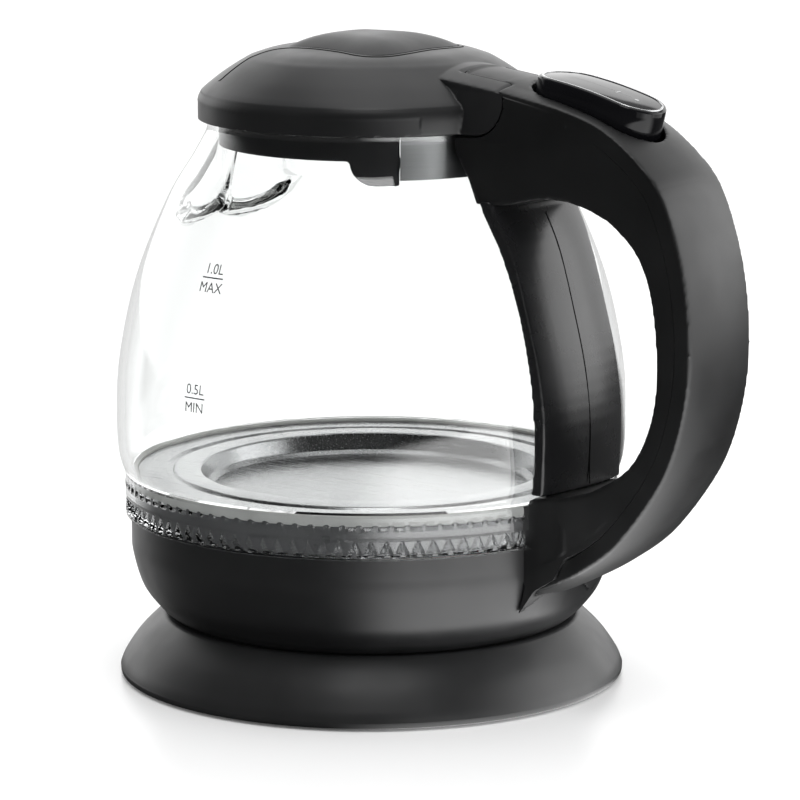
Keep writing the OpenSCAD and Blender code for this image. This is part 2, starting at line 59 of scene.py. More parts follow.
def curve(points, n=8):
    """Smooth open curve through the points, with n steps between neighbours."""
    out = []
    last = len(points) - 1
    for i in range(last):
        p0, p1 = Vector(points[max(i - 1, 0)]), Vector(points[i])
        p2, p3 = Vector(points[i + 1]), Vector(points[min(i + 2, last)])
        for k in range(n):
            t = k / n
            out.append(0.5 * (2 * p1 + (p2 - p0) * t + (2 * p0 - 5 * p1 + 4 * p2 - p3) * t * t
                              + (3 * p1 - p0 - 3 * p2 + p3) * t ** 3))
    out.append(Vector(points[last]))
    return [tuple(p) for p in out]


def shifted(line, d):
    """Open line moved to its right by d."""
    out = []
    for i, p in enumerate(line):
        a, b = Vector(line[max(i - 1, 0)]), Vector(line[min(i + 1, len(line) - 1)])
        run = (b - a).normalized()
        out.append((p[0] + d * run.y, p[1] - d * run.x))
    return out


def rounded(points, closed=True, steps=5):
    """Outline of (x, z) or (x, z, radius) points, with each corner that has a radius rounded."""
    out = []
    n = len(points)
    for i, p in enumerate(points):
        b = Vector(p[:2])
        if len(p) < 3 or (not closed and i in (0, n - 1)):
            out.append(tuple(b))
            continue
        u = Vector(points[i - 1][:2]) - b
        v = Vector(points[(i + 1) % n][:2]) - b
        reach = p[2] / math.tan(u.angle(v) / 2)
        p0 = b + u.normalized() * min(reach, 0.49 * u.length)
        p1 = b + v.normalized() * min(reach, 0.49 * v.length)
        for k in range(steps + 1):
            t = k / steps
            out.append(tuple((1 - t) ** 2 * p0 + 2 * t * (1 - t) * b + t * t * p1))
    return out


def height_at(profile, r):
    """Height of a profile of (r, z) points, whose r falls, at the radius r."""
    for (r1, z1), (r0, z0) in zip(profile, profile[1:]):
        if r0 <= r <= r1:
            return mix(z1, z0, (r1 - r) / max(r1 - r0, 1e-6))
    return profile[-1][1] if r < profile[-1][0] else profile[0][1]


def radius_at(profile, z):
    """Radius of a profile of (r, z) points, whose z rises, at the height z."""
    for (r0, z0), (r1, z1) in zip(profile, profile[1:]):
        if z0 <= z <= z1:
            return mix(r0, r1, (z - z0) / max(z1 - z0, 1e-6))
    return profile[0][0] if z < profile[0][1] else profile[-1][0]


def spin(profile, n=256, shape=None):
    """Vertices and faces of a closed (r, z) outline turned about Z."""
    verts, rings, faces = [], [], []
    for r, z in profile:
        if r < 1e-4:
            rings.append([len(verts)])
            verts.append((0.0, 0.0, z))
            continue
        rings.append(list(range(len(verts), len(verts) + n)))
        for i in range(n):
            a = 2 * math.pi * i / n
            rr, zz = shape(r, z, a) if shape else (r, z)
            verts.append((rr * math.cos(a), rr * math.sin(a), zz))
    for lo, hi in zip(rings, rings[1:] + rings[:1]):
        if len(lo) == 1 and len(hi) == 1:
            continue
        for i in range(n):
            j = (i + 1) % n
            if len(lo) == 1:
                faces.append((lo[0], hi[j], hi[i]))
            elif len(hi) == 1:
                faces.append((lo[i], lo[j], hi[0]))
            else:
                faces.append((lo[i], lo[j], hi[j], hi[i]))
    return verts, faces


def stack(outline, levels, place):
    """Vertices and faces of a placed solid through levels of (inset, z) of an outline function."""
    verts, faces, rings = [], [], []
    for inset, z in levels:
        ring = outline(inset)
        rings.append(list(range(len(verts), len(verts) + len(ring))))
        verts += [(x, y, z) for x, y in ring]
    for lo, hi in zip(rings, rings[1:]):
        n = len(lo)
        faces += [(lo[i], lo[(i + 1) % n], hi[(i + 1) % n], hi[i]) for i in range(n)]
    faces.append(tuple(reversed(rings[0])))
    faces.append(tuple(rings[-1]))
    return [tuple(place(Vector(v))) for v in verts], faces


def finish_mesh(mesh, angle=38):
    """Makes normals face out, and keeps edges sharper than the angle crisp."""
    bm = bmesh.new()
    bm.from_mesh(mesh)
    bmesh.ops.recalc_face_normals(bm, faces=bm.faces)
    for f in bm.faces:
        f.smooth = True
    for e in bm.edges:
        e.smooth = not (len(e.link_faces) == 2 and e.calc_face_angle(0) > math.radians(angle))
    bm.to_mesh(mesh)
    bm.free()


def add(name, mesh, body, mat, hides=(), angle=38):
    """New piece from a finished mesh."""
    finish_mesh(mesh, angle)
    mesh.materials.clear()
    mesh.materials.append(mat)
    ob = bpy.data.objects.new(name, mesh)
    bpy.context.scene.collection.objects.link(ob)
    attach(ob, body)
    if hides:
        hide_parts(*hides)
    return ob


def piece(name, geometry, body, mat, hides=(), angle=38):
    """New piece from (vertices in mm, faces)."""
    verts, faces = geometry
    mesh = bpy.data.meshes.new(name)
    mesh.from_pydata([(x * MM, y * MM, z * MM) for x, y, z in verts], [], faces)
    return add(name, mesh, body, mat, hides, angle)


def moulded(name, nodes, body, mat, voxel=0.55, relax=12, shape=None, extra=()):
    """Piece with softened edges, grown from CAD nodes and extra solids through a voxel skin."""
    bm = bmesh.new()
    for n in nodes:
        bm.from_mesh(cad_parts[n].data)
    for verts, faces in extra:
        solid = bpy.data.meshes.new(name + "_extra")
        solid.from_pydata([(x * MM, y * MM, z * MM) for x, y, z in verts], [], faces)
        bm.from_mesh(solid)
        bpy.data.meshes.remove(solid)
    bmesh.ops.recalc_face_normals(bm, faces=bm.faces)
    bmesh.ops.remove_doubles(bm, verts=bm.verts, dist=1e-6)
    mesh = bpy.data.meshes.new(name)
    bm.to_mesh(mesh)
    bm.free()
    ob = bpy.data.objects.new(name + "_raw", mesh)
    bpy.context.scene.collection.objects.link(ob)
    skin = ob.modifiers.new("skin", "REMESH")
    skin.mode = "VOXEL"
    skin.voxel_size = voxel * MM
    soft = ob.modifiers.new("soft", "SMOOTH")
    soft.factor = 0.5
    soft.iterations = relax
    done = bpy.data.meshes.new_from_object(ob.evaluated_get(bpy.context.evaluated_depsgraph_get()))
    bpy.data.objects.remove(ob)
    if shape:
        for v in done.vertices:
            v.co = Vector(shape(*(v.co / MM))) * MM
    return add(name, done, body, mat, nodes, 60)


def ribbon(points, width, lift, edge_shade_mix=0.12):
    """Thin strip of the width along points given as (position, normal, sideways) in mm."""
    verts, faces = [], []
    for p, up, side in points:
        for s, h in ((-0.5, lift - edge_shade_mix), (0.5, lift - edge_shade_mix), (0.5, lift), (-0.5, lift)):
            verts.append(tuple(Vector(p) + Vector(side) * (s * width) + Vector(up) * h))
    for i in range(len(points) - 1):
        a, b = 4 * i, 4 * i + 4
        faces += [(a + k, a + (k + 1) % 4, b + (k + 1) % 4, b + k) for k in range(4)]
    faces += [(3, 2, 1, 0), tuple(4 * len(points) - 4 + k for k in range(4))]
    return verts, faces


# ---- materials ----

def nodes_of(name):
    """New material with its node tree and its shader."""
    mat = bpy.data.materials.new(name)
    mat.use_nodes = True
    tree = mat.node_tree
    return mat, tree, tree.nodes["Principled BSDF"]


def noise(tree, scale, detail=3, stretch=None):
    """Noise fixed to the object, with its places stretched if asked."""
    coord = tree.nodes.new("ShaderNodeTexCoord")
    source = coord.outputs["Object"]
    if stretch:
        place = tree.nodes.new("ShaderNodeMapping")
        place.inputs["Scale"].default_value = stretch
        tree.links.new(source, place.inputs["Vector"])
        source = place.outputs["Vector"]
    n = tree.nodes.new("ShaderNodeTexNoise")
    n.inputs["Scale"].default_value = scale
    n.inputs["Detail"].default_value = detail
    n.inputs["Roughness"].default_value = 0.55
    tree.links.new(source, n.inputs["Vector"])
    return n


def span(tree, source, lo, hi, a=0.3, b=0.7):
    """Maps a source that runs from a to b on to lo to hi."""
    m = tree.nodes.new("ShaderNodeMapRange")
    m.inputs["From Min"].default_value = a
    m.inputs["From Max"].default_value = b
    m.inputs["To Min"].default_value = lo
    m.inputs["To Max"].default_value = hi
    tree.links.new(source, m.inputs["Value"])
    return m.outputs["Result"]


def tint(tree, factor, low, high):
    """Colour that runs from low to high with the factor."""
    m = tree.nodes.new("ShaderNodeMix")
    m.data_type = "RGBA"
    tree.links.new(factor, m.inputs["Factor"])
    m.inputs[6].default_value = (*low, 1)
    m.inputs[7].default_value = (*high, 1)
    return m.outputs[2]


def bump(tree, height, strength, distance):
    """Normal for a height, with the distance in mm."""
    b = tree.nodes.new("ShaderNodeBump")
    b.inputs["Strength"].default_value = strength
    b.inputs["Distance"].default_value = distance * MM
    tree.links.new(height, b.inputs["Height"])
    return b.outputs["Normal"]


def moulding(name, colour, rough, spread=0.05, grain=2600, depth=0.03, strength=0.25, vary=0.12,
             spec=0.5):
    """Moulded plastic or rubber: fine spark-eroded grain, faint mottling and uneven gloss."""
    mat, tree, shader = nodes_of(name)
    broad = noise(tree, 60, 4)
    fine = noise(tree, grain, 2)
    low = [c * (1 - vary) for c in colour]
    high = [c * (1 + vary) for c in colour]
    tree.links.new(tint(tree, span(tree, broad.outputs[0], 0, 1), low, high),
                   shader.inputs["Base Color"])
    tree.links.new(span(tree, broad.outputs[0], rough - spread, rough + spread),
                   shader.inputs["Roughness"])
    tree.links.new(bump(tree, fine.outputs[0], strength, depth), shader.inputs["Normal"])
    shader.inputs["Specular IOR Level"].default_value = spec
    return mat


def metal(name, colour, rough, spread=0.06, grain=900, stretch=None, depth=0.01, strength=0.3,
          vary=0.06):
    """Bare metal with brush marks or a rolled grain."""
    mat, tree, shader = nodes_of(name)
    marks = noise(tree, grain, 3, stretch)
    low = [c * (1 - vary) for c in colour]
    high = [min(c * (1 + vary), 1) for c in colour]
    tree.links.new(tint(tree, span(tree, marks.outputs[0], 0, 1), low, high),
                   shader.inputs["Base Color"])
    tree.links.new(span(tree, marks.outputs[0], rough - spread, rough + spread),
                   shader.inputs["Roughness"])
    tree.links.new(bump(tree, marks.outputs[0], strength, depth), shader.inputs["Normal"])
    shader.inputs["Metallic"].default_value = 1.0
    return mat


# how dark the painted shade on the edges of glass and acrylic is
PAINTED_EDGE_SHADE = 0.7


def clear(name, colour, ior, wave=90, depth=0.02, strength=0.05, rough=0.0):
    """Clear glass or acrylic with the faint waviness of a moulding.

    Its colour is darkened where it is seen along its surface, a painted shade on its edges, and it
    lets lamps through.
    """
    mat, tree, shader = nodes_of(name)
    swell = noise(tree, wave, 2)
    facing = tree.nodes.new("ShaderNodeLayerWeight")
    facing.inputs["Blend"].default_value = 0.5
    edge = span(tree, facing.outputs["Facing"], 0, 1, 0.72, 1.0)
    # painted shade: the colour darkens towards the edges that are seen along the surface
    edge_shade_mix = tree.nodes.new("ShaderNodeMix")
    edge_shade_mix.data_type = "RGBA"
    tree.links.new(edge, edge_shade_mix.inputs["Factor"])
    tree.links.new(tint(tree, swell.outputs[0], [c * 0.995 for c in colour], colour),
                   edge_shade_mix.inputs[6])
    edge_shade_mix.inputs[7].default_value = (*[c * PAINTED_EDGE_SHADE for c in colour], 1)
    tree.links.new(edge_shade_mix.outputs[2], shader.inputs["Base Color"])
    tree.links.new(bump(tree, swell.outputs[0], strength, depth), shader.inputs["Normal"])
    shader.inputs["Transmission Weight"].default_value = 1.0
    shader.inputs["Roughness"].default_value = rough
    shader.inputs["IOR"].default_value = ior
    lamp = tree.nodes.new("ShaderNodeLightPath")
    open_way = tree.nodes.new("ShaderNodeBsdfTransparent")
    open_way.inputs["Color"].default_value = (0.95, 0.96, 0.96, 1)
    either = tree.nodes.new("ShaderNodeMixShader")
    tree.links.new(lamp.outputs["Is Shadow Ray"], either.inputs[0])
    tree.links.new(shader.outputs[0], either.inputs[1])
    tree.links.new(open_way.outputs[0], either.inputs[2])
    tree.links.new(either.outputs[0], tree.nodes["Material Output"].inputs["Surface"])
    return mat


satin = moulding("satin_black", (0.0055, 0.0057, 0.0061), 0.42, depth=0.02)
body_black = moulding("housing_black", (0.014, 0.0143, 0.015), 0.38, depth=0.02)
base_black = moulding("base_black", (0.015, 0.0153, 0.016), 0.42, depth=0.02)
lid_black = moulding("lid_black", (0.010, 0.0103, 0.011), 0.42, depth=0.02)
semi_gloss = moulding("column_black", (0.010, 0.0102, 0.011), 0.27, 0.03, 1800, 0.008, 0.15,
                      spec=0.42)
liner_black = moulding("liner_black", (0.012, 0.012, 0.013), 0.55, spec=0.3)
gloss_black = moulding("gloss_black", (0.006, 0.006, 0.007), 0.07, 0.02, 700, 0.004, 0.1, spec=0.2)
# near-black for thin strips that paint the shade in grooves and seams
shadow_line = moulding("seam_shadow", (0.002, 0.002, 0.002), 0.9, spec=0.05)
ring_grey = moulding("ring_grey", (0.09, 0.09, 0.092), 0.3)
under_black = moulding("underside_black", (0.02, 0.02, 0.021), 0.6)
rubber_grey = moulding("foot_rubber", (0.05, 0.05, 0.05), 0.8, grain=1500, strength=0.5)
rubber_black = moulding("bush_rubber", (0.015, 0.015, 0.015), 0.7, grain=1500, strength=0.5)
silicone = moulding("seal_silicone", (0.55, 0.55, 0.53), 0.45, grain=600)
nylon = moulding("natural_nylon", (0.72, 0.68, 0.58), 0.5, grain=1200)
board_mask = moulding("solder_mask", (0.02, 0.09, 0.05), 0.35, grain=900)
lens = moulding("led_lens", (0.85, 0.88, 0.95), 0.15)
insulation = moulding("wire_insulation", (0.35, 0.03, 0.02), 0.5, grain=700)
print_ink = moulding("scale_ink", (0.03, 0.03, 0.032), 0.5, grain=4000)
mark_ink = moulding("rocker_ink", (0.4, 0.405, 0.41), 0.4, grain=4000)
brushed = metal("brushed_plate", (0.27, 0.272, 0.275), 0.24, 0.05, 60, (1, 40, 40), 0.006, 0.25)
satin_steel = metal("deflector_steel", (0.21, 0.212, 0.215), 0.36, 0.05, 60, (1, 1, 40))
zinc = metal("zinc_screw", (0.6, 0.61, 0.62), 0.3, grain=1500)
brass = metal("contact_brass", (0.72, 0.54, 0.24), 0.28, grain=1500)
aluminium = metal("spreader_aluminium", (0.68, 0.69, 0.7), 0.38, grain=400, stretch=(1, 20, 20))
sheath = metal("element_sheath", (0.36, 0.35, 0.34), 0.45, 0.1, 500, vary=0.2)
bimetal = metal("bimetal_strip", (0.62, 0.56, 0.46), 0.3, grain=800)
chrome = metal("bright_rim", (0.5, 0.505, 0.51), 0.12, 0.03, 900)
glass = clear("clear_glass", (0.985, 0.995, 0.992), 1.47)
acrylic = clear("clear_acrylic", (0.96, 0.975, 0.98), 1.49, 400, 0.03, 0.15, 0.02)

carried = {
    "base_cover": under_black, "foot_ring": rubber_grey, "base_screws": zinc,
    "base_socket": under_black, "live_contact": brass, "neutral_contact": brass,
    "earth_contact": brass, "inlet_bush": rubber_black, "connector_pin": brass,
    "housing_screws": zinc, "control_housing": nylon, "neutral_ring": brass,
    "earth_ring": zinc, "cutout_discs": bimetal, "control_screws": zinc,
    "heating_element": sheath, "heat_spreader": aluminium, "plate_seal": silicone,
    "led_board": board_mask, "leds": lens, "steam_deflector": satin_steel,
    "handle_screws": zinc, "wire_harness": insulation, "steam_switch": nylon,
    "steam_bimetal": bimetal, "snap_spring": bimetal, "hinge_pin": zinc, "rocker_pin": zinc,
    "lid_screws": zinc, "trip_lever": nylon,
}
for name, mat in carried.items():
    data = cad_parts[name].data
    if not data.materials:
        data.materials.append(mat)
    for i in range(len(data.materials)):
        data.materials[i] = mat


# ---- base and bowl ----

base_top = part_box("base_shell")[1].z / MM
foot = curve([(73, 2.4), (71.6, 5.5), (67.4, 11.4), (60.6, base_top - 0.2)], 12)
well = [(59.8, base_top, 0.3), (57, base_top, 0.5), (56.4, 13), (54, 13, 0.3), (54, 14.95, 0.4),
        (48, 14.95, 0.4), (48, 13, 0.3), (16.1, 13, 0.3), (16.1, 11), (57.4, 11), (58.6, 14.4),
        (64.8, 9.8), (69.6, 4.6), (70.7, 2.4), (70.7, 0.8, 0.3), (72.9, 0.8, 0.7)]
piece("base_flare", spin(rounded(foot + well), 320), "base", base_black,
      ("base_shell",))

BOWL_WALL = 2.2
bowl = curve([(59, 18.8), (62.2, 21.7), (66.5, 27.6), (69.1, 36.5), (69.4, 42), (69.4, 47.5)], 10)
inner_bowl = shifted(bowl, -BOWL_WALL)[::-1]
bowl_loop = ([(20.9, 15, 0.4), (55.4, 15, 0.5), (55.4, 18.3, 0.5), (58.4, 18.5, 0.3)] + bowl
             + inner_bowl + [(20.9, 17.4)])
piece("bowl", spin(rounded(bowl_loop), 320), "jug", body_black, ("lower_housing",))

# ---- light ring ----

ring_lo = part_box("light_ring")[0].z / MM
ring_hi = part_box("light_ring")[1].z / MM
PRISMS = 100
PRISM_DEPTH = 1.15
DIMPLE_DEPTH = 0.75
DIMPLE_UP = 9.2


def ring_facets(r, z, a):
    """Pressed pattern: a row of pointed prisms below, a plain band and a row of small dimples."""
    if r < 70:
        return r, z
    t = (a * PRISMS / (2 * math.pi)) % 1.0
    tooth = 1 - abs(2 * t - 1)
    rise = step(ring_lo + 0.8, ring_lo + 1.2, z) * (1 - step(ring_lo + 5.2, ring_lo + 5.6, z))
    level = (z - ring_lo - 1.0) / 4.4
    ridge = max(0.0, tooth - max(level, 0)) if 0 < level < 1 else 0.0
    r -= PRISM_DEPTH * rise * (1 - min(1.0, ridge * 1.9))
    row = max(0.0, 1 - abs(z - ring_lo - DIMPLE_UP) / 1.0)
    r -= DIMPLE_DEPTH * row * step(0.25, 0.55, 1 - abs(2 * ((t + 0.2) % 1.0) - 1))
    return r, z


outer = [(71.1, ring_lo + 0.35 + i * 0.2) for i in range(int((ring_hi - ring_lo - 0.7) / 0.2) + 1)]
ring_loop = [(68.7, ring_hi - 0.1), (68.7, ring_lo + 0.1), (70.7, ring_lo)] + outer + [
    (70.8, ring_hi)]
piece("light_ring_prisms", spin(ring_loop, PRISMS * 12, ring_facets), "jug", acrylic,
      ("light_ring",), 20)
backing = [(67.4, 48.2), (68.2, 48.2, 0.3), (68.2, 59.1, 0.3), (67.4, 59.1)]
piece("ring_backing", spin(rounded(backing), 256), "jug", ring_grey)

# ---- heating plate ----

plate = [(0, 53.6), (46.4, 53.6, 1.5), (48.6, 54.8, 1.5), (49.8, 59.2, 1), (57, 59.2, 0.3),
         (57.6, 58.7, 0.3), (58.8, 58.7, 0.3), (59.2, 59.2, 0.3), (68, 59.2), (68, 60, 0.3),
         (59.6, 60, 0.5), (58.9, 59.3, 0.4), (57.5, 59.3, 0.4), (56.9, 60, 0.5), (49.4, 60, 1.0),
         (47.6, 55.6, 1.4), (45.8, 54.4, 1.4), (0, 54.4)]
piece("steel_plate", spin(rounded(plate), 256), "jug", brushed, ("heating_plate",),
      60)

# ---- glass ----

glass_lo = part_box("glass_body")[0].z / MM
glass_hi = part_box("glass_body")[1].z / MM
glass_line = curve([(71.4, 60.5), (72.9, 66), (73.35, 76), (72.4, 93), (67.4, 116), (58.4, 138.3),
                    (50.6, 151.3), (46.9, 158.4), (46.9, 161.1)], 12)
nose_line = [(60.6, 126), (59.4, 131), (58.4, 137), (56.6, 149), (56.2, 156), (56.2, 161.2)]
# half the lip's angle, how many degrees from its nose its folds reach, and the glass's thickness
LIP_HALF = math.radians(28)
FOLD_REACH = 34
GLASS_WALL = 2.3


def lip_radius(a, z):
    """Outer radius of the glass with the pouring lip pressed into it opposite the handle."""
    r = radius_at(glass_line, z)
    off = abs(a % (2 * math.pi) - math.pi)
    soft = math.sqrt(off * off + 0.0022)
    # the lip's outline widens quickly from its lowest point to its full width
    low = 130 + 9 * (off / LIP_HALF - 0.35) ** 2
    inside = step(0, 3.2, z - low) * (1 - step(LIP_HALF * 0.93, LIP_HALF * 1.12, off))
    if inside <= 0:
        return r
    nose = radius_at(nose_line, z)
    edge_r = radius_at(glass_line, max(z, 136))
    tilt = math.atan2(nose - edge_r * math.cos(LIP_HALF), edge_r * math.sin(LIP_HALF))
    face = nose * math.cos(tilt) / math.cos(soft - tilt)
    return mix(r, face, inside)


# the lip's folds on one side, as degrees from its nose and height
FOLDS = curve([(0, 158), (0, 148), (0, 139), (2.5, 133.4), (7, 130.8), (12.5, 130.2), (20, 132.6),
               (25, 136.2), (28.4, 138.2), (25, 140.6), (22.4, 144), (22, 150), (22, 158)], 3)


def lip_thickness(a, z):
    """Thickness of the glass, which is more along the folds of the lip."""
    off = math.degrees(abs(a - math.pi))
    if off > FOLD_REACH or z < nose_line[0][1]:
        return GLASS_WALL
    # length of a degree at the lip's mean radius
    per_degree = math.radians(58)
    at = Vector((off * per_degree, z))
    best = 99.0
    for (a0, z0), (a1, z1) in zip(FOLDS, FOLDS[1:]):
        p0 = Vector((a0 * per_degree, z0))
        run = Vector((a1 * per_degree, z1)) - p0
        t = min(max((at - p0).dot(run) / run.length_squared, 0), 1)
        best = min(best, (at - p0 - run * t).length)
    fold = mix(2.6, 1.5, step(0, 4, off))
    return GLASS_WALL + fold * math.exp(-(best / 1.5) ** 2) * (1 - step(150, 156, z))


def glass_angle(i, n):
    """Angle of one column of the glass's grid, with closer steps round the lip."""
    a = 2 * math.pi * i / n
    return a + 0.45 * math.sin(a)


def glass_geometry(n=420, rows=190):
    """The jug's outer skin, its inner skin at the wall's thickness, and the two edges."""
    grid = []
    for k in range(rows + 1):
        z = mix(glass_lo, glass_hi, k / rows)
        grid.append([])
        for i in range(n):
            a = glass_angle(i, n)
            r = lip_radius(a, z)
            grid[-1].append(Vector((r * math.cos(a), r * math.sin(a), z)))
    verts, faces = [], []
    outer_at, inner_at = [], []
    for k in range(rows + 1):
        outer_at.append(len(verts))
        for i in range(n):
            verts.append(tuple(grid[k][i]))
    for k in range(rows + 1):
        inner_at.append(len(verts))
        for i in range(n):
            along = grid[min(k + 1, rows)][i] - grid[max(k - 1, 0)][i]
            around = grid[k][(i + 1) % n] - grid[k][i - 1]
            out = around.cross(along).normalized()
            p = grid[k][i] - lip_thickness(glass_angle(i, n), grid[k][i].z) * out
            p.z = min(max(p.z, glass_lo), glass_hi)
            verts.append(tuple(p))
    for k in range(rows):
        for i in range(n):
            j = (i + 1) % n
            a, b = outer_at[k], outer_at[k + 1]
            faces.append((a + i, a + j, b + j, b + i))
            a, b = inner_at[k], inner_at[k + 1]
            faces.append((a + j, a + i, b + i, b + j))
    for k in (0, rows):
        for i in range(n):
            j = (i + 1) % n
            a, b = outer_at[k], inner_at[k]
            faces.append((a + i, b + i, b + j, a + j) if k == 0 else (a + j, b + j, b + i, a + i))
    return verts, faces


piece("glass_jug", glass_geometry(), "jug", glass, ("glass_body",), 60)


# ---- level marks ----

PRINT_LIFT = 0.06


def on_glass(a, z):
    """Point just outside the glass at an angle and a height."""
    r = radius_at(glass_line, z) + PRINT_LIFT
    return (r * math.cos(a), r * math.sin(a), z)


def words(text, size):
    """Mesh of a short generic word, laid flat and centred."""
    font = bpy.data.curves.new("word", "FONT")
    font.body = text
    font.size = size
    font.align_x = "CENTER"
    ob = bpy.data.objects.new("word", font)
    bpy.context.scene.collection.objects.link(ob)
    mesh = bpy.data.meshes.new_from_object(ob.evaluated_get(bpy.context.evaluated_depsgraph_get()))
    bpy.data.objects.remove(ob)
    bm = bmesh.new()
    bm.from_mesh(mesh)
    verts = [tuple(v.co) for v in bm.verts]
    faces = [tuple(v.index for v in f.verts) for f in bm.faces]
    bm.free()
    return verts, faces


MARK_ANGLE = math.radians(-94)
WORD_SIZE = 3.9


def mark(name, top, bottom, z):
    """Level mark: a bar round the glass with a word above and a word below."""
    verts, faces = [], []
    bar_v, bar_f = [], []
    for i in range(13):
        x = mix(-3.8, 3.8, i / 12)
        bar_v += [(x, -0.18, 0), (x, 0.18, 0)]
        if i < 12:
            bar_f.append((2 * i, 2 * i + 2, 2 * i + 3, 2 * i + 1))
    parts = [((bar_v, bar_f), 0.0), (words(top, WORD_SIZE), 1.1), (words(bottom, WORD_SIZE), -3.9)]
    for (vs, fs), up in parts:
        first = len(verts)
        for x, y, _ in vs:
            zz = z + y + up
            verts.append(on_glass(MARK_ANGLE + x / radius_at(glass_line, zz), zz))
        faces += [tuple(first + i for i in f) for f in fs]
    piece(name, (verts, faces), "jug", print_ink)


mark("mark_one_litre", "1.0L", "MAX", 122.6)
mark("mark_half_litre", "0.5L", "MIN", 90.0)

# ---- lid ----

# the hinge's axis, half the widths of the grip and the tongue, the radii of the tongue's nose, the
# lid's brim and the shoulder over it, and how far back the island reaches and how high it stands
HINGE_X, HINGE_Z = 50, 170
GRIP_HALF = 15
TONGUE_HALF = 9
NOSE_RADIUS = 13
BRIM_RADIUS = 49.3
SHOULDER_RADIUS = 48.4
ISLAND_REAR = 20.4
ISLAND_RISE = 3.2

brim_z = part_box("lid_cover")[0].z / MM
brim_line = [(BRIM_RADIUS, brim_z), (BRIM_RADIUS, 167.2, 1.2), (SHOULDER_RADIUS, 169.2)]
crown_line = [(SHOULDER_RADIUS, 169.2), (46.5, 170.9), (42.1, 174.3), (36.6, 177.8), (33.2, 179.4),
              (26.3, 181.2), (13, 182.4), (0, 182.6)]
dome = rounded(brim_line, False) + curve(crown_line, 10)[1:]
island_half = curve([(-20.5, 0), (-20, 10), (-17, 15.6), (-8, 17.6), (4, 19.4), (13, 20.6),
                     (18.6, 17.4), (ISLAND_REAR, 10), (ISLAND_REAR, 0)], 10)


def island_reach(a):
    """Distance from the axis to the island's outline in the direction a."""
    a = abs((a + math.pi) % (2 * math.pi) - math.pi)
    for (x0, y0), (x1, y1) in zip(island_half, island_half[1:]):
        a0, a1 = math.atan2(y0, x0), math.atan2(y1, x1)
        if a1 <= a <= a0:
            t = (a0 - a) / max(a0 - a1, 1e-6)
            return mix(math.hypot(x0, y0), math.hypot(x1, y1), t)
    return ISLAND_REAR


def dome_height(x, y):
    """Height of the lid's top, with the raised island on it."""
    r = math.hypot(x, y)
    z = height_at(dome, r)
    t = r / island_reach(math.atan2(y, x))
    if t < 1:
        z += ISLAND_RISE * (1 - t ** 3.0)
    return z


def side_half(x, z):
    """Half width of the collar and of the handle's side, which narrow towards the grip."""
    if z < 100:
        return mix(17.5, GRIP_HALF, step(70, 98, x))
    return mix(19 - 0.1875 * max(z - 160, 0), GRIP_HALF, step(58, 90, x))


def lid_shape(x, y, z):
    """Lays the voxel skin on the true dome, except round the hinge collar."""
    half = side_half(x, z)
    if x > 43 and 162.5 < z < 173.5 and half - 1.3 < abs(y) < half + 0.5:
        # the arm's side stays flush with the handle's
        return x, math.copysign(half, y), z
    arm = math.hypot(x - HINGE_X, z - HINGE_Z)
    if abs(y) < 9 and 12.9 < arm < 14.6 and z > 166:
        # the slot keeps close to the tongue's nose
        k = (NOSE_RADIUS + 0.4) / arm
        x, z = HINGE_X + (x - HINGE_X) * k, HINGE_Z + (z - HINGE_Z) * k
    elif x > 38 and 8.8 < abs(y) < 10.3 and arm < 13.6 and z > 164:
        y = math.copysign(TONGUE_HALF + 0.3, y)
    r = math.hypot(x, y)
    crest = 179.2 - 0.124 * (x - 33.4)
    on_collar = x > 31 and abs(y) < 20 and -1 < crest - z < 8
    if on_collar and (r > 48.6 or z > height_at(dome, r) - 0.5):
        z -= 0.0105 * y * y * (1 - step(0, 8, crest - z))
        return x, y, max(z, height_at(dome, r)) if r < SHOULDER_RADIUS else z
    if r > 49.0 and z < 166.5 and x < 40:
        k = BRIM_RADIUS / r
        return x * k, y * k, z
    if z < brim_z + 5 or r > 48.6:
        return x, y, z
    top = height_at(dome, r)
    if x > 32 and abs(y) < 21 and z - top > 0.35:
        return x, y, z
    # only the outer skin, which is over 1.5 mm from the inner one
    if top - z < 1.1 or (r < 22 and z > 180.6):
        w = 1.0
        if x > 30 and abs(y) < 22:
            w = 1 - step(0.1, 0.35, z - top)
        return x, y, mix(z, dome_height(x, y), w)
    return x, y, z


moulded("lid_shell", ("lid_cover", "lid_island"), "lid", lid_black, 0.5, 6,
        lid_shape)


def dome_frame(x, y, dx, dy):
    """Position, normal and sideways direction on the lid's top along a drawn line."""
    h = 0.05
    gx = (dome_height(x + h, y) - dome_height(x - h, y)) / (2 * h)
    gy = (dome_height(x, y + h) - dome_height(x, y - h)) / (2 * h)
    up = Vector((-gx, -gy, 1)).normalized()
    run = Vector((dx, dy, gx * dx + gy * dy)).normalized()
    return Vector((x, y, dome_height(x, y))), up, run.cross(up)


def lid_line(side):
    """One half of the wave that frames the island and flares out to the lid's front edge."""
    half = curve([(ISLAND_REAR, 0), (ISLAND_REAR, 10), (18.6, 17.0), (13, 20.8), (4, 19.6), (-8, 17.8),
                  (-15.4, 17.6), (-20.4, 20.8), (-24.0, 26.4), (-26.6, 34.0)], 10)
    line = [(x, side * y) for x, y in half]
    out = []
    for i, (x, y) in enumerate(line):
        a, b = line[max(i - 1, 0)], line[min(i + 1, len(line) - 1)]
        out.append((x * 1.02, y * 1.02, b[0] - a[0], b[1] - a[1]))
    return out


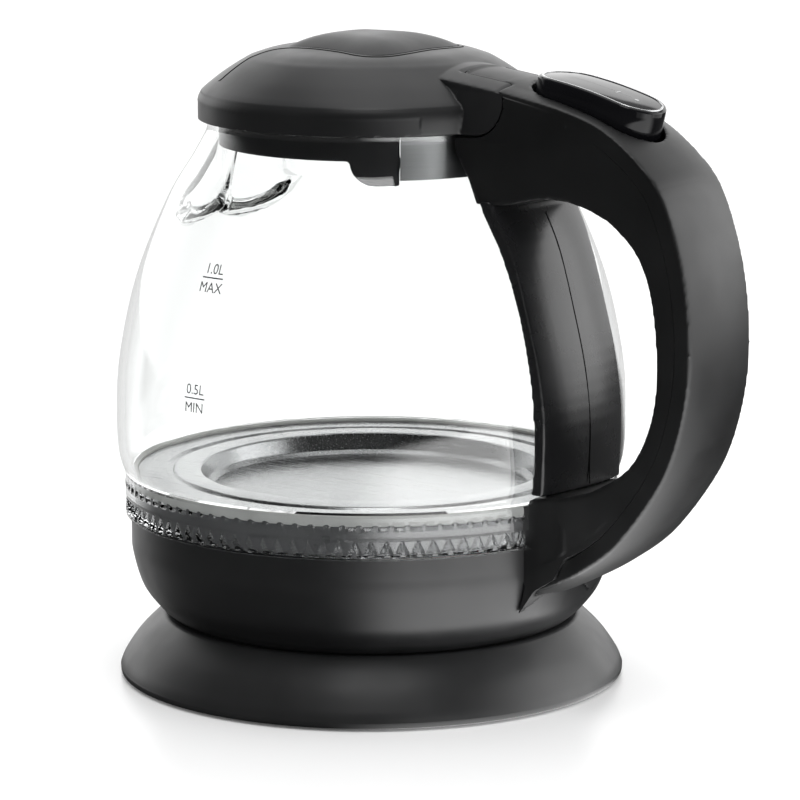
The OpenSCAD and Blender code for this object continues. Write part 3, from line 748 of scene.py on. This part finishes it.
for side in (-1, 1):
    line = lid_line(side)
    # dark strips on each side of the groove line, painted shade of the groove
    for tag, off in (("inner", -0.62), ("outer", 0.62)):
        path = []
        for x, y, dx, dy in line:
            p, up, across = dome_frame(x, y, dx, dy)
            q = p + across * off
            path.append(dome_frame(q.x, q.y, dx, dy))
        piece(f"lid_groove_shade_{tag}_{'near' if side < 0 else 'far'}", ribbon(path, 0.42, 0.05), "lid",
              shadow_line)
    bead = [dome_frame(x, y, dx, dy) for x, y, dx, dy in line]
    piece(f"lid_bead_{'near' if side < 0 else 'far'}", ribbon(bead, 0.85, 0.16, 0.3), "lid",
          lid_black)

moulded("lid_skirt", ("lid_liner",), "lid", liner_black, 0.5, 6)

# ---- handle ----

spine_points = [(56, 176.4), (66, 174.5), (78, 171.6), (91, 167), (103, 158.8), (111.6, 148.7),
                (118.5, 129), (121, 107), (118.8, 88), (112.2, 70.3), (98.3, 51.7), (85.1, 41.3),
                (69.7, 33)]
spine_fine = [Vector(p) for p in curve(spine_points, 20)]
spine_cad = [Vector(p) for p in curve(spine_points, 4)]


def foot_on(line, p):
    """Nearest point of a line to p, with its inward normal and the signed depth of p inside."""
    best = None
    for a, b in zip(line, line[1:]):
        run = b - a
        t = min(max((p - a).dot(run) / run.length_squared, 0), 1)
        q = a + run * t
        d = (p - q).length_squared
        if best is None or d < best[0]:
            best = (d, q, run)
    _, q, run = best
    inward = Vector((run.y, -run.x)).normalized()
    return q, inward, (p - q).dot(inward)


def spine_shape(x, y, z):
    """Crowns the handle's back, and lays it on the smooth curve."""
    p = Vector((x, z))
    wide = side_half(x, z) / GRIP_HALF if z > 100 else 1.0
    if x < 54:
        # the tongue that meets the lid
        top = 182.0 - 0.1 * x
        w = step(top - 8, top - 2, z)
        nose = math.hypot(x - HINGE_X, z - HINGE_Z)
        if abs(y) > 8:
            y = math.copysign(TONGUE_HALF, y)
        elif 12.2 < nose < 13.1 and z > 166:
            x = HINGE_X + (x - HINGE_X) * NOSE_RADIUS / nose
            z = HINGE_Z + (z - HINGE_Z) * NOSE_RADIUS / nose
        return x, y, z - 0.9 * w * (y / TONGUE_HALF) ** 2
    q, inward, depth = foot_on(spine_cad, p)
    if depth > 4:
        if abs(y) > 13.4:
            y = math.copysign(GRIP_HALF, y)
        return x, y * mix(1, wide, step(10, 13, abs(y))), z
    q2, inward2, _ = foot_on(spine_fine, p)
    crown = mix(2.3, 1.5, step(56, 84, x)) * (y / GRIP_HALF) ** 2 * (1 - step(0.5, 4, depth))
    s = q2 + inward2 * depth
    w = step(54, 60, x) * (1 - step(2, 4, depth))
    s = p.lerp(s, w) + inward2 * crown
    return s.x, y * mix(1, wide, step(10, 13, abs(y))), s.y


ARM_RADIUS = 9.15
CHEEK_INNER = 13.2
# the spine's inner side, as (z, x) for radius_at
spine_under = [(z, x) for x, z in shifted(curve(spine_points, 20), 6.1)]


def cheek(side, stations):
    """Solid that fairs one side of the handle, through stations of (x, bottom, top)."""
    verts, faces = [], []
    levels = 5
    ring = levels + 3
    for x, z0, z1 in stations:
        verts.append((x, side * CHEEK_INNER, z0))
        for k in range(levels + 1):
            z = mix(z0, z1, k / levels)
            verts.append((x, side * side_half(x, z), z))
        verts.append((x, side * CHEEK_INNER, z1))
    for i in range(len(stations) - 1):
        a, b = i * ring, (i + 1) * ring
        faces += [(a + k, a + (k + 1) % ring, b + (k + 1) % ring, b + k) for k in range(ring)]
    faces += [tuple(range(ring)), tuple(len(verts) - ring + k for k in reversed(range(ring)))]
    return verts, faces


# stations of the bracket's and the root's cheeks
upper = []
for x, z0 in ((49, 142.9), (51, 142.9), (53, 142.9), (55, 142.9), (57, 142.9), (58, 142.9),
              (58.8, 142.9), (59.2, 142.9), (62, 143.1), (66, 144.1), (70, 145), (75, 145.6),
              (80, 145.2), (86, 143.6), (91, 141.4)):
    reach = ARM_RADIUS ** 2 - (x - HINGE_X) ** 2
    under_arm = HINGE_Z - math.sqrt(max(reach, 0))
    upper.append((x, z0, under_arm if reach > 0 else radius_at(spine_under, x)))
root = [(66, 37.5, 62), (72, 41, 62.5), (80, 46.5, 63.5), (88, 52, 66), (95, 57.8, 70),
        (98, 60.6, 72)]


def side_shape(x, y, z):
    """Keeps the handle's side off the glass, and flush with the lid's arm and the back."""
    clear_of = radius_at(glass_line, z) + 0.35
    r = math.hypot(x, y)
    if 60.5 < z < 161.2 and r < clear_of:
        return x * clear_of / r, y * clear_of / r, z
    half = side_half(x, z)
    if not half - 1.5 < abs(y) < half + 0.4:
        return x, y, z
    if x < 62 and z > 160 or foot_on(spine_cad, Vector((x, z)))[2] < 8.2:
        return x, math.copysign(half, y), z
    return x, y, z


moulded("handle_back", ("handle_spine",), "jug", satin, 0.5, 7, spine_shape)
moulded("handle_side", ("handle_body",), "jug", satin, 0.5, 12, side_shape,
        [cheek(side, line) for side in (-1, 1) for line in (upper, root)])


column_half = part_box("column_cover")[1].y / MM
COLUMN_TOP_HALF = 20.0


def column_shape(x, y, z):
    """Widens the column's top to meet the bracket, and carries it up into the bracket."""
    wide = y * mix(1.0, COLUMN_TOP_HALF / column_half, min(max((z - 129) / 13, 0), 1))
    r = math.hypot(x, y)
    if r < radius_at(glass_line, z) + 2.5:
        x = math.sqrt(r * r - wide * wide)
    return x, wide, z + 1.3 * step(140.5, 142.4, z)


moulded("handle_column", ("column_cover",), "jug", semi_gloss, 0.5, 12,
        column_shape)

# ---- power rocker ----

ROCKER = (Matrix.Translation((80.4, 0, 175.4))
          @ Matrix.Rotation(math.radians(12.6), 4, "Y"))
ROCKER_LENGTH = 39.5
ROCKER_WIDTH = 19.0
SIDE_STEPS = 16


def stadium(inset, n=24):
    """The rocker's oval outline moved in, with points along its straight sides too."""
    out = []
    r = ROCKER_WIDTH / 2 - inset
    reach = (ROCKER_LENGTH - ROCKER_WIDTH) / 2
    for side in (1, -1):
        for i in range(n + 1):
            a = math.pi * (i / n - 0.5) + (0 if side > 0 else math.pi)
            out.append((side * reach + r * math.cos(a), r * math.sin(a)))
        out += [(side * mix(reach, -reach, k / SIDE_STEPS), side * r)
                for k in range(1, SIDE_STEPS)]
    return out


def on_rocker(v):
    """Tilts the rocker, and crowns its top a little along its length."""
    return ROCKER @ Vector((v.x, v.y, v.z - 0.0036 * v.x ** 2 * step(-2.5, 0, v.z)))


cap = [(0.4, -9.8), (0.05, -9.4), (0.0, -5), (0.0, -0.9), (0.12, -0.4), (0.4, -0.08), (0.7, 0.0),
       (0.95, 0.0), (1.0, -0.25), (1.5, -0.25), (1.55, -0.1), (3.0, 0.0), (6.0, 0.12), (9.46, 0.15)]
piece("rocker_cap", stack(stadium, cap, on_rocker), "power_switch", gloss_black,
      ("power_rocker",), 50)
rim_v, rim_f = [], []
rim_levels = [(0.95, -0.3), (0.98, 0.05), (1.1, 0.14), (1.4, 0.14), (1.52, 0.05), (1.55, -0.3)]
for inset, z in rim_levels:
    rim_v += [tuple(on_rocker(Vector((x, y, z)))) for x, y in stadium(inset)]
count = len(stadium(0))
for k in range(len(rim_levels)):
    lo, hi = k * count, ((k + 1) % len(rim_levels)) * count
    rim_f += [(lo + i, lo + (i + 1) % count, hi + (i + 1) % count, hi + i) for i in range(count)]
piece("rocker_rim", (rim_v, rim_f), "power_switch", chrome, ("rocker_trim",), 50)

# small generic marks on the rocker's rear end: a dot and a short bar


def disc(inset, x0=11.5, r=0.65):
    """Outline of the dot."""
    return [(x0 + (r - inset) * math.cos(2 * math.pi * i / 24),
             (r - inset) * math.sin(2 * math.pi * i / 24)) for i in range(24)]


def bar(inset, x0=5.0):
    """Outline of the bar."""
    return [(x0 - 0.25 + inset, -1.4 + inset), (x0 + 0.25 - inset, -1.4 + inset),
            (x0 + 0.25 - inset, 1.4 - inset), (x0 - 0.25 + inset, 1.4 - inset)]


piece("rocker_dot", stack(disc, [(0, 0.05), (0.1, 0.2)], on_rocker), "power_switch", mark_ink)
piece("rocker_bar", stack(bar, [(0, 0.05), (0.1, 0.2)], on_rocker), "power_switch", mark_ink)


# ---- painted shade of the seam on the column ----

column_face = curve([(77.0, 64.5), (76.9, 70), (77.0, 82.4), (75.2, 97), (71.6, 111.5),
                     (66.4, 128.9), (61.4, 139.4)], 8)
seam = []
for i, (x, z) in enumerate(column_face):
    a, b = column_face[max(i - 1, 0)], column_face[min(i + 1, len(column_face) - 1)]
    run = Vector((b[0] - a[0], 0, b[1] - a[1])).normalized()
    seam.append((Vector((x, 0, z)), Vector((run.z, 0, -run.x)), Vector((0, 1, 0))))
piece("column_seam_shade", ribbon(seam, 0.4, 0.04), "jug", shadow_line)

# ---- stage, light and camera ----

scene = bpy.context.scene
scene.view_settings.view_transform = "Standard"
scene.view_settings.look = "None"


def mirrored(tree, also=None):
    """1 for rays that a surface has reflected, and 0 for sight and what glass lets through.

    Also names one more kind of ray that counts as 1.
    """
    ray = tree.nodes.new("ShaderNodeLightPath")
    once = tree.nodes.new("ShaderNodeMath")
    once.operation = "MINIMUM"
    tree.links.new(ray.outputs["Glossy Depth"], once.inputs[0])
    once.inputs[1].default_value = 1.0
    if not also:
        return once.outputs[0]
    either = tree.nodes.new("ShaderNodeMath")
    either.operation = "MAXIMUM"
    tree.links.new(once.outputs[0], either.inputs[0])
    tree.links.new(ray.outputs[also], either.inputs[1])
    return either.outputs[0]


def soft_ramp(tree, source, lo, hi, a, b):
    """Value that goes smoothly from a to b as the source goes from lo to hi."""
    r = tree.nodes.new("ShaderNodeMapRange")
    r.interpolation_type = "SMOOTHSTEP"
    r.inputs["From Min"].default_value = lo
    r.inputs["From Max"].default_value = hi
    r.inputs["To Min"].default_value = a
    r.inputs["To Max"].default_value = b
    tree.links.new(source, r.inputs["Value"])
    return r.outputs["Result"]


def times(tree, a, b):
    """Product of two values."""
    m = tree.nodes.new("ShaderNodeMath")
    m.operation = "MULTIPLY"
    tree.links.new(a, m.inputs[0])
    tree.links.new(b, m.inputs[1])
    return m.outputs[0]


PANEL_GLOW = 3.6
CARD_GREY = 0.13
floor = bpy.data.meshes.new("floor")
floor.from_pydata([(-6, -6, 0), (6, -6, 0), (6, 6, 0), (-6, 6, 0)], [], [(0, 1, 2, 3)])
floor_ob = bpy.data.objects.new("floor", floor)
scene.collection.objects.link(floor_ob)
floor_mat, tree, shader = nodes_of("pale_floor")
sheen = noise(tree, 3, 2)
tree.links.new(tint(tree, sheen.outputs[0], (0.86, 0.86, 0.86), (0.88, 0.88, 0.88)),
               shader.inputs["Base Color"])
shader.inputs["Roughness"].default_value = 0.3
shader.inputs["Specular IOR Level"].default_value = 0.2
shader.inputs["Emission Color"].default_value = (1, 1, 1, 1)
shader.inputs["Emission Strength"].default_value = 0.06
# a grey card for bounced light, so that the black plastic stays deep
card = tree.nodes.new("ShaderNodeBsdfDiffuse")
card.inputs["Color"].default_value = (CARD_GREY, CARD_GREY, CARD_GREY, 1)
choose = tree.nodes.new("ShaderNodeMixShader")
tree.links.new(mirrored(tree, "Is Diffuse Ray"), choose.inputs[0])
tree.links.new(shader.outputs[0], choose.inputs[1])
tree.links.new(card.outputs[0], choose.inputs[2])
# a bright panel on the floor to the right and a faint one to the left, which only reflections see.
# The right one starts further round where it is further away.
place = tree.nodes.new("ShaderNodeTexCoord")
plan = tree.nodes.new("ShaderNodeSeparateXYZ")
tree.links.new(place.outputs["Object"], plan.inputs[0])
turn = tree.nodes.new("ShaderNodeMath")
turn.operation = "ARCTAN2"
tree.links.new(plan.outputs["Y"], turn.inputs[0])
tree.links.new(plan.outputs["X"], turn.inputs[1])
away = tree.nodes.new("ShaderNodeVectorMath")
away.operation = "LENGTH"
tree.links.new(place.outputs["Object"], away.inputs[0])
later = tree.nodes.new("ShaderNodeMath")
later.operation = "SUBTRACT"
tree.links.new(turn.outputs[0], later.inputs[0])
tree.links.new(soft_ramp(tree, away.outputs["Value"], 0.42, 0.7, 0.0, 0.7), later.inputs[1])
starts = soft_ramp(tree, later.outputs[0], math.radians(-64), math.radians(-36), 0.0, 1.0)
ends = soft_ramp(tree, turn.outputs[0], math.radians(8), math.radians(32), PANEL_GLOW, 0.0)
both = times(tree, starts, ends)
left = times(tree, soft_ramp(tree, plan.outputs["X"], -0.12, -0.04, 1.0, 0.0),
             soft_ramp(tree, plan.outputs["Y"], -0.12, 0.02, 0.0, 0.8))
glow = tree.nodes.new("ShaderNodeMath")
tree.links.new(both, glow.inputs[0])
tree.links.new(left, glow.inputs[1])
panel = tree.nodes.new("ShaderNodeEmission")
tree.links.new(times(tree, glow.outputs[0], mirrored(tree)), panel.inputs["Strength"])
sum_up = tree.nodes.new("ShaderNodeAddShader")
tree.links.new(choose.outputs[0], sum_up.inputs[0])
tree.links.new(panel.outputs[0], sum_up.inputs[1])
tree.links.new(sum_up.outputs[0], tree.nodes["Material Output"].inputs["Surface"])
floor.materials.append(floor_mat)


def softbox(name, place, aim, wide, tall, power):
    """Rectangular area light at a place that faces an aim, with its power in watts."""
    lamp = bpy.data.lights.new(name, "AREA")
    lamp.shape = "RECTANGLE"
    lamp.size = wide
    lamp.size_y = tall
    lamp.energy = power
    ob = bpy.data.objects.new(name, lamp)
    ob.location = place
    ob.rotation_euler = (Vector(aim) - Vector(place)).to_track_quat("-Z", "Y").to_euler()
    scene.collection.objects.link(ob)


softbox("right_box", (0.75, 0.65, 0.3), (0.05, 0, 0.11), 0.8, 0.9, 4.2)
softbox("side_box", (0.85, -0.25, 0.15), (0.05, 0, 0.12), 0.5, 0.5, 0.6)
softbox("front_box", (0.31, -0.39, 1.12), (0, 0, 0.02), 0.42, 0.42, 2.6)
softbox("top_box", (-0.05, 0.15, 1.2), (0, 0, 0.1), 0.9, 0.9, 3.0)

world = bpy.data.worlds.new("studio")
scene.world = world
world.use_nodes = True
wt = world.node_tree
back = wt.nodes["Background"]
way = wt.nodes.new("ShaderNodeTexCoord")
split = wt.nodes.new("ShaderNodeVectorMath")
split.operation = "DOT_PRODUCT"
split.inputs[1].default_value = (-0.25, 0.97, 0.0)
wt.links.new(way.outputs["Generated"], split.inputs[0])
axes = wt.nodes.new("ShaderNodeSeparateXYZ")
wt.links.new(way.outputs["Generated"], axes.inputs[0])
# what reflections see: a light wall behind the kettle, dimmer higher up
rear = soft_ramp(wt, split.outputs["Value"], -0.2, 0.45, 0.01, 1.8)
high = soft_ramp(wt, axes.outputs["Z"], 0.56, 0.8, 1.0, 0.27)
# a dark bar across the light wall, which the glossy rocker mirrors
bar_lo = soft_ramp(wt, axes.outputs["Z"], 0.455, 0.475, 0.0, 1.0)
bar_hi = soft_ramp(wt, axes.outputs["Z"], 0.55, 0.57, 0.8, 0.0)
bar_cut = wt.nodes.new("ShaderNodeMath")
bar_cut.operation = "SUBTRACT"
bar_cut.inputs[0].default_value = 1.0
wt.links.new(times(wt, bar_lo, bar_hi), bar_cut.inputs[1])
# what glass lets through: a white room under a dim ceiling
ceiling = soft_ramp(wt, axes.outputs["Z"], 0.28, 0.6, 1.0, 0.22)
ray = wt.nodes.new("ShaderNodeLightPath")


def world_pick(factor, a, b):
    """a where the factor is 0 and b where it is 1, each a number or a socket."""
    m = wt.nodes.new("ShaderNodeMix")
    m.data_type = "FLOAT"
    wt.links.new(factor, m.inputs["Factor"])
    for socket, value in ((m.inputs[2], a), (m.inputs[3], b)):
        if isinstance(value, float):
            socket.default_value = value
        else:
            wt.links.new(value, socket)
    return m.outputs[0]


# sight sees plain white
seen = world_pick(ray.outputs["Is Transmission Ray"], 1.0, ceiling)
wall = times(wt, times(wt, rear, high), bar_cut.outputs[0])
wt.links.new(world_pick(mirrored(wt), seen, wall), back.inputs["Color"])

# a long lens at the photograph's angle
cam = bpy.data.cameras.new("camera")
cam.sensor_width = 36
cam.lens = 188.4
cam.clip_start = 0.05
cam.clip_end = 30
cam_ob = bpy.data.objects.new("camera", cam)
cam_ob.location = (0.7308, -0.9354, 0.302)
aim = Vector((0.0065, 0.0051, 0.0793)) - cam_ob.location
cam_ob.rotation_euler = aim.to_track_quat("-Z", "Y").to_euler()
scene.collection.objects.link(cam_ob)
scene.camera = cam_ob
